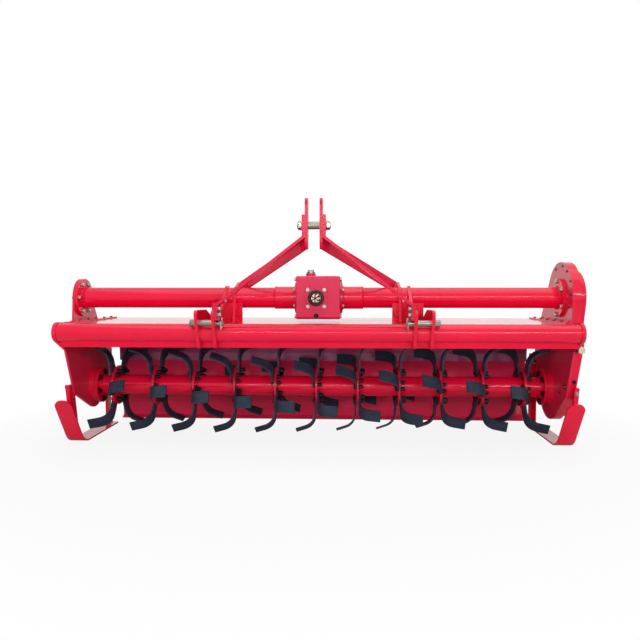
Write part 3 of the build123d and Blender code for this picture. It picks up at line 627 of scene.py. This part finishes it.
# ---------------------------------------------------------------- gearbox
NECK_BOLT_Y, NECK_BOLT_Z = 0.0516, 0.037            # the neck flanges' bolts from the tube's axis
CORNER_BOLTS = ((-0.145, 0.619), (-0.145, 0.793), (0.045, 0.624), (0.045, 0.788))      # Y, Z
for name, side in SIDES:
    out = side * ALONG_X
    spots = [
        (neck_face[side], TUBE[1] + y, TUBE[2] + z)
        for y in (-NECK_BOLT_Y, NECK_BOLT_Y)
        for z in (-NECK_BOLT_Z, NECK_BOLT_Z)
    ]
    corners = [(box_side[side], y, z) for y, z in CORNER_BOLTS]
    bolts = joined(set_out(bolt_head(0.008), spots, out), set_out(bolt_head(0.01), corners, out))
    add(f"gearbox_side_bolts_{name}", bolts, zinc, "frame")

INPUT_BOLT = 0.0385                                 # from the input's axis, along X and along Z
flange_front = high("gearbox_input_flange")[1] - 0.012
spots = [
    (x, flange_front, INPUT[2] + z)
    for x in (-INPUT_BOLT, INPUT_BOLT)
    for z in (-INPUT_BOLT, INPUT_BOLT)
]
bolts = set_out(bolt_head(0.0105, False), spots, -ALONG_Y)
add("input_flange_bolts", bolts, zinc, "frame")

seal_ring = [                                       # bore, outside, then a groove and the lip
    (0.004, 0.0215), (0.0, 0.0215),
    (0.0, 0.0375), (0.009, 0.0375), (0.0108, 0.036), (0.0108, 0.033),
    (0.0095, 0.032), (0.0095, 0.027), (0.012, 0.0255), (0.012, 0.0235),
]
seal = set_out(turned(seal_ring, 48, ring=True), (0, flange_front, INPUT[2]), -ALONG_Y)
add("input_seal", seal, rubber, "frame")

DRAIN_Z = 0.622
drain = joined(
    turned([(-0.004, 0.0115), (0.004, 0.0115), (0.0055, 0.010), (0.0055, 0.0062)], 24),
    lifted(hexagonal(0.014, 0.006, 12), 0.0045),
)
drain = set_out(drain, (0, GEARBOX_LOW[1], DRAIN_Z), -ALONG_Y)
add("drain_plug", drain, bolt_black, "frame")

# ---------------------------------------------------------------- hitch
HITCH_FACES = (0.432, 0.446, 0.506, 0.520)          # both faces of the inner and the outer plate
HITCH_INNER, HITCH_OUTER = HITCH_FACES[0], HITCH_FACES[-1]
ARM_FACE = HITCH_INNER - 0.013                      # mast arms, bolted to the inner plates
ARM_BOLT_Y = LOWER_PIN[1] - 0.01
ARM_BOLT_Z = (0.637, 0.664)
SMALL_BOLT_IN, SMALL_BOLT_Z = 0.031, 0.697          # further in, where the arm begins to lean
PIN_R, PIN_MID_R = 0.0125, 0.014                    # in the plates, and between them
PIN_INNER_END, PIN_OUTER_END = 0.400, 0.545
PEG_X = 0.4055                                      # linch pin, near the pin's inner end
HOOP_R, HOOP_LEAN, HOOP_POINTS = 0.0205, 0.006, 40
SADDLE_WEBS = (0.388, 0.400)                        # both faces of the web between deck and tube
SADDLE_FRONT = -0.091                               # front of the cross plates under the tube
SADDLE_BOLTS = ((0.380, 0.632), (0.484, 0.634))     # X, Z
deck_weld_z = DECK_TOP + 0.0008


def deck_weld(x, start_y, end_y, size):
    """Straight weld on the deck at a given X, from one Y to another."""
    return weld(line_path((x, start_y, deck_weld_z), (x, end_y, deck_weld_z)), size, ALONG_Z)


for name, side in SIDES:
    out, inward = side * ALONG_X, -side * ALONG_X
    # the pin itself: shank, thicker stretch between the plates, washers and a hexagon head outside
    shank = [
        (PIN_INNER_END, 0.0105), (PIN_INNER_END + 0.002, PIN_R), (HITCH_INNER + 0.014, PIN_R),
        (HITCH_INNER + 0.0145, PIN_MID_R), (HITCH_OUTER - 0.0145, PIN_MID_R), (HITCH_OUTER, PIN_R),
        (HITCH_OUTER + 0.003, PIN_R), (HITCH_OUTER + 0.004, 0.0115),
    ]
    seat = lifted(washer(PIN_R, 0.0185, 0.0035, 32), HITCH_OUTER)
    head = lifted(hexagonal(0.0285, PIN_OUTER_END - HITCH_OUTER - 0.0035), HITCH_OUTER + 0.0035)
    keeper = lifted(washer(PIN_R, 0.0195, 0.004, 32), HITCH_INNER - 0.004)
    pin = set_out(joined(turned(shank, 32), seat, head, keeper), LOWER_PIN, out)
    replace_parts(add(f"lower_pin_{name}", pin, pin_steel, "frame"), f"hitch_pin_{name}")

    arm_spots = [(side * ARM_FACE, ARM_BOLT_Y, z) for z in ARM_BOLT_Z]
    small_spot = (side * (ARM_FACE - SMALL_BOLT_IN), ARM_BOLT_Y, SMALL_BOLT_Z)
    bolts = joined(
        set_out(bolt_head(0.014), arm_spots, inward),
        set_out(bolt_head(0.01), small_spot, inward),
    )
    add(f"arm_bolts_{name}", bolts, zinc, "frame")

    # linch pin: a headed peg down through the pin's end and a spring hoop hanging from it, whose
    # point at angle a lies at (lean cos a, radius sin a) in Y and Z from its middle
    peg = [
        (-0.021, 0.003), (-0.0195, 0.0042), (0.017, 0.0042),
        (0.0175, 0.0065), (0.0225, 0.0065), (0.0235, 0.005),
    ]
    peg = set_out(turned(peg, 16), (side * PEG_X, LOWER_PIN[1], LOWER_PIN[2]), ALONG_Z)
    a = np.linspace(0, 2 * pi, HOOP_POINTS, endpoint=False)
    y = LOWER_PIN[1] - 0.017 + HOOP_LEAN * np.cos(a)
    z = LOWER_PIN[2] - 0.011 + HOOP_R * np.sin(a)
    hoop = np.stack([np.full(HOOP_POINTS, side * PEG_X), y, z], axis=1)
    linch = joined(peg, drawn(hoop, 0.0017, ALONG_X, 8, closed=True))
    add(f"linch_pin_{name}", linch, zinc, "frame")

    welds = []
    for face in HITCH_FACES:
        on_beam = arc_path(BEAM, BEAM_R + WELD_OFF, side * face, 95, 262)
        welds.append(weld(on_beam, 0.0042, ALONG_X))
        welds.append(deck_weld(side * face, BEAM[1] + 0.006, TUBE[1] - 0.02, 0.0042))
    for face in SADDLE_WEBS:
        on_tube = arc_path(TUBE, TUBE_R + WELD_OFF, side * face, -60, 240)
        welds.append(deck_weld(side * face, TUBE[1] - 0.08, TUBE[1] + 0.08, 0.004))
        welds.append(weld(on_tube, 0.0042, ALONG_X))
    add(f"hitch_welds_{name}", joined(*welds), weld_red, "frame", WELD_CREASE)

    saddle_spots = [(side * x, SADDLE_FRONT, z) for x, z in SADDLE_BOLTS]
    bolts = set_out(bolt_head(0.018), saddle_spots, -ALONG_Y)
    add(f"saddle_bolts_{name}", bolts, weld_red, "frame")

TOP_FACE = 0.051                                    # outer faces of the mast's two uprights
top_end = joined(washer(0.0128, 0.022, 0.004, 32), lifted(hexagonal(0.034, 0.014), 0.004))
for name, side in SIDES:
    end = set_out(top_end, TOP_PIN + side * TOP_FACE * ALONG_X, side * ALONG_X)
    add(f"top_pin_fastener_{name}", end, zinc, "frame")

# ---------------------------------------------------------------- bearing at the left end
cap_screw_seat = low("bearing_housing")[0] + 0.006
housing_spots = ring_spots(ROTOR, 0.098, 6, -PLATE_OUT, 30.0)
cap_spots = ring_spots(ROTOR, 0.05, 4, cap_screw_seat, 45.0)
bolts = joined(
    set_out(bolt_head(0.012), housing_spots, -ALONG_X),
    set_out(bolt_head(0.008, False), cap_spots, -ALONG_X),
)
add("bearing_bolts", bolts, zinc, "frame")

# ---------------------------------------------------------------- skids
STRUT_WALL = 0.006
STRUT_BOLT_Z = (0.35, 0.385)                        # near the rear struts' tops
left_bolt = (-PLATE_OUT - STRUT_WALL, -0.168, 0.279)    # at the head of the left front strut
gear_bolt, gear_way = (1.195, -0.184, 0.268), (0, -0.983, -0.184)
for name, side in SIDES:
    rear_web = side * (PLATE_OUT + STRUT_WALL if side < 0 else PLATE_IN - STRUT_WALL)
    strut_y = middle(f"skid_rear_strut_{name}")[1] - 0.004
    rear = [(rear_web, strut_y, z) for z in STRUT_BOLT_Z]
    rear_bolts = set_out(bolt_head(0.014), rear, -ALONG_X)
    if side < 0:
        front_bolt = set_out(nut_and_end(0.012, 0.9), left_bolt, -ALONG_X)
    else:
        front_bolt = set_out(bolt_head(0.009), gear_bolt, gear_way)
    add(f"skid_bolts_{name}", joined(rear_bolts, front_bolt), zinc, "frame")

# ---------------------------------------------------------------- rotor
DISC_COUNT, DISC_HALF, BLADE_WALL = 11, 0.005, 0.009
FIRST_DISC_IN, LAST_DISC_IN = 0.094, 0.109          # from the rotor's end faces
FIRST_BLADE, BLADE_STEP = 93.5, 6.5                 # degrees from upright, and on from disc to disc
BLADE_BOLT_R, BLADE_BOLT_ASIDE = 0.079, 0.0155      # out from the rotor's axis, and to both sides
END_FLANGE_WALL = 0.014                             # flanges bolted to the hubs at both ends
rotor_half = PLATE_IN - 0.032                       # centre plane to the rotor's end faces
disc_x = np.linspace(-rotor_half + FIRST_DISC_IN, rotor_half - LAST_DISC_IN, DISC_COUNT)


def blade_bolt_spots(hand, offset):
    """Two bolts at the root of every blade of one hand.

    Disc n carries its blades at a = first + n step + 120 k degrees from upright; its bolts lie
    at R (-sin a, cos a) plus or minus aside (cos a, sin a) in Y and Z.
    """
    first = FIRST_BLADE + (0 if hand > 0 else 60)
    number, turn, pair = np.meshgrid(np.arange(DISC_COUNT), np.arange(3), (-1, 1), indexing="ij")
    a = np.radians(first + number * BLADE_STEP + turn * 120).ravel()
    x = disc_x[number.ravel()] + offset
    y = ROTOR[1] - BLADE_BOLT_R * np.sin(a) + pair.ravel() * BLADE_BOLT_ASIDE * np.cos(a)
    z = ROTOR[2] + BLADE_BOLT_R * np.cos(a) + pair.ravel() * BLADE_BOLT_ASIDE * np.sin(a)
    return np.stack([x, y, z], axis=1)


blade_nut = joined(
    hexagonal(0.0172, 0.019, 12),
    turned([(0.018, 0.0074), (0.0226, 0.0074), (0.0236, 0.0066)], 8),
)
blade_head = hexagonal(0.0195, 0.0065, 12)
nuts, heads = [], []
for hand in (-1, 1):
    nut_face = DISC_HALF + (BLADE_WALL if hand > 0 else 0)
    head_face = -DISC_HALF - (BLADE_WALL if hand < 0 else 0)
    nuts.append(set_out(blade_nut, blade_bolt_spots(hand, nut_face), ALONG_X))
    heads.append(set_out(blade_head, blade_bolt_spots(hand, head_face), -ALONG_X))
add("blade_nuts", joined(*nuts), bolt_black, "rotor")
add("blade_bolt_heads", joined(*heads), bolt_black, "rotor")

flange_bolts, seals, welds = [], [], []
seal = turned([(0.0012, 0.080), (0.0, 0.080), (0.0, 0.0905), (0.0012, 0.0915)], 48, ring=True)
for name, side in SIDES:
    out = side * ALONG_X
    inner_face = side * (rotor_half - END_FLANGE_WALL)
    spots = ring_spots(ROTOR, 0.068, 6, inner_face, 20.0)
    flange_bolts.append(set_out(bolt_head(0.014, sides=12), spots, -out))
    seals.append(set_out(lifted(seal, 0.0001), ROTOR + rotor_half * out, out))
    on_shaft = arc_path(ROTOR, ROTOR_TUBE_R + WELD_OFF, inner_face - side * WELD_OFF)
    welds.append(weld(on_shaft, 0.005, ALONG_X, True))
for x in disc_x:
    for face in (-DISC_HALF, DISC_HALF):
        on_shaft = arc_path(ROTOR, ROTOR_TUBE_R + 0.0005, x + face, step=0.003)
        welds.append(weld(on_shaft, 0.0035, ALONG_X, True, pitch=0.009))
add("rotor_flange_bolts", joined(*flange_bolts), bolt_black, "rotor")
add("rotor_seals", joined(*seals), rubber, "rotor")
add("rotor_welds", joined(*welds), weld_red, "rotor", WELD_CREASE)

# ---------------------------------------------------------------- floor, light and camera
FLOOR_HALF = 9
WHITE = (1, 1, 1, 1)
SKY_STRENGTH = 0.32
floor_corners = [
    (-FLOOR_HALF, -FLOOR_HALF, 0), (FLOOR_HALF, -FLOOR_HALF, 0),
    (FLOOR_HALF, FLOOR_HALF, 0), (-FLOOR_HALF, FLOOR_HALF, 0),
]
floor_mesh = bpy.data.meshes.new("studio_floor")
floor_mesh.from_pydata(floor_corners, [], [(0, 1, 2, 3)])
floor = bpy.data.objects.new("studio_floor", floor_mesh)
bpy.context.scene.collection.objects.link(floor)

# pale paper with the machine's shadow on it, which fades into white further out
paper = Finish("studio_paper", Roughness=0.9)
paper.colour(paper.blend(paper.noise(1.3, 2), linear(222, 222, 222), linear(230, 230, 230)))
glow = paper.node("ShaderNodeEmission", [("Color", WHITE), ("Strength", 1.0)]).outputs[0]
seen = paper.node("ShaderNodeLightPath").outputs["Is Camera Ray"]
fade = paper.ramp(paper.length(paper.place), 1.2, 2.0, 0.88, 1.0)
share = paper.maths("MULTIPLY", fade, seen)
mixed = paper.node("ShaderNodeMixShader", [(0, share), (1, paper.shader.outputs[0]), (2, glow)])
paper.tree.links.new(mixed.outputs[0], paper.tree.nodes["Material Output"].inputs["Surface"])
floor_mesh.materials.append(paper.material)

# white all round for the camera and for mirrored rays, dimmer as a light
world = bpy.data.worlds.new("studio_air")
bpy.context.scene.world = world
world.use_nodes = True
air = world.node_tree
sky, white = air.nodes["Background"], air.nodes.new("ShaderNodeBackground")
for background, strength in ((sky, SKY_STRENGTH), (white, 1.0)):
    background.inputs["Color"].default_value = WHITE
    background.inputs["Strength"].default_value = strength
air_ray = air.nodes.new("ShaderNodeLightPath")
air_seen = air.nodes.new("ShaderNodeMath")
air_seen.operation = "MAXIMUM"
air.links.new(air_ray.outputs["Is Camera Ray"], air_seen.inputs[0])
air.links.new(air_ray.outputs["Is Glossy Ray"], air_seen.inputs[1])
air_mix = air.nodes.new("ShaderNodeMixShader")
air.links.new(air_seen.outputs[0], air_mix.inputs[0])
air.links.new(sky.outputs[0], air_mix.inputs[1])
air.links.new(white.outputs[0], air_mix.inputs[2])
air.links.new(air_mix.outputs[0], air.nodes["World Output"].inputs["Surface"])


def soft_box(name, place, aim, width, height, power, mirrored=True):
    """Rectangular lamp at a place, turned to face a point; shiny faces may mirror it or not."""
    lamp = bpy.data.lights.new(name, "AREA")
    lamp.shape = "RECTANGLE"
    lamp.size, lamp.size_y, lamp.energy = width, height, power
    holder = bpy.data.objects.new(name, lamp)
    holder.location = place
    holder.visible_glossy = mirrored
    towards = Vector(aim) - Vector(place)
    holder.rotation_euler = towards.to_track_quat("-Z", "Y").to_euler()
    bpy.context.scene.collection.objects.link(holder)


# place, point it faces, width, height, watts
soft_box("top_light", (0.2, -0.6, 3.4), (0, 0, 0.4), 4.5, 3.0, 62)
soft_box("line_light", (1.3, -4.2, 1.55), (0.3, 0, 0.5), 5.4, 0.13, 72)
soft_box("low_fill", (-0.7, -3.4, 0.86), (-0.6, 0.3, 0.3), 4.4, 0.4, 34, mirrored=False)

SENSOR_WIDTH = 36.0
FOCAL_SHARE = 615 / 640                             # focal length, as a share of the sensor's width
CAMERA_DOWN, CAMERA_LEFT = 2.98, 2.33               # degrees it looks down, and turns to the left
lens = bpy.data.cameras.new("product_camera")
lens.sensor_width = SENSOR_WIDTH
lens.lens = SENSOR_WIDTH * FOCAL_SHARE
camera = bpy.data.objects.new("product_camera", lens)
camera.location = (0.134, -3.024, 0.752)
camera.rotation_euler = (radians(90 - CAMERA_DOWN), 0, radians(CAMERA_LEFT))
bpy.context.scene.collection.objects.link(camera)
bpy.context.scene.camera = camera
bpy.context.scene.view_settings.view_transform = "Standard"
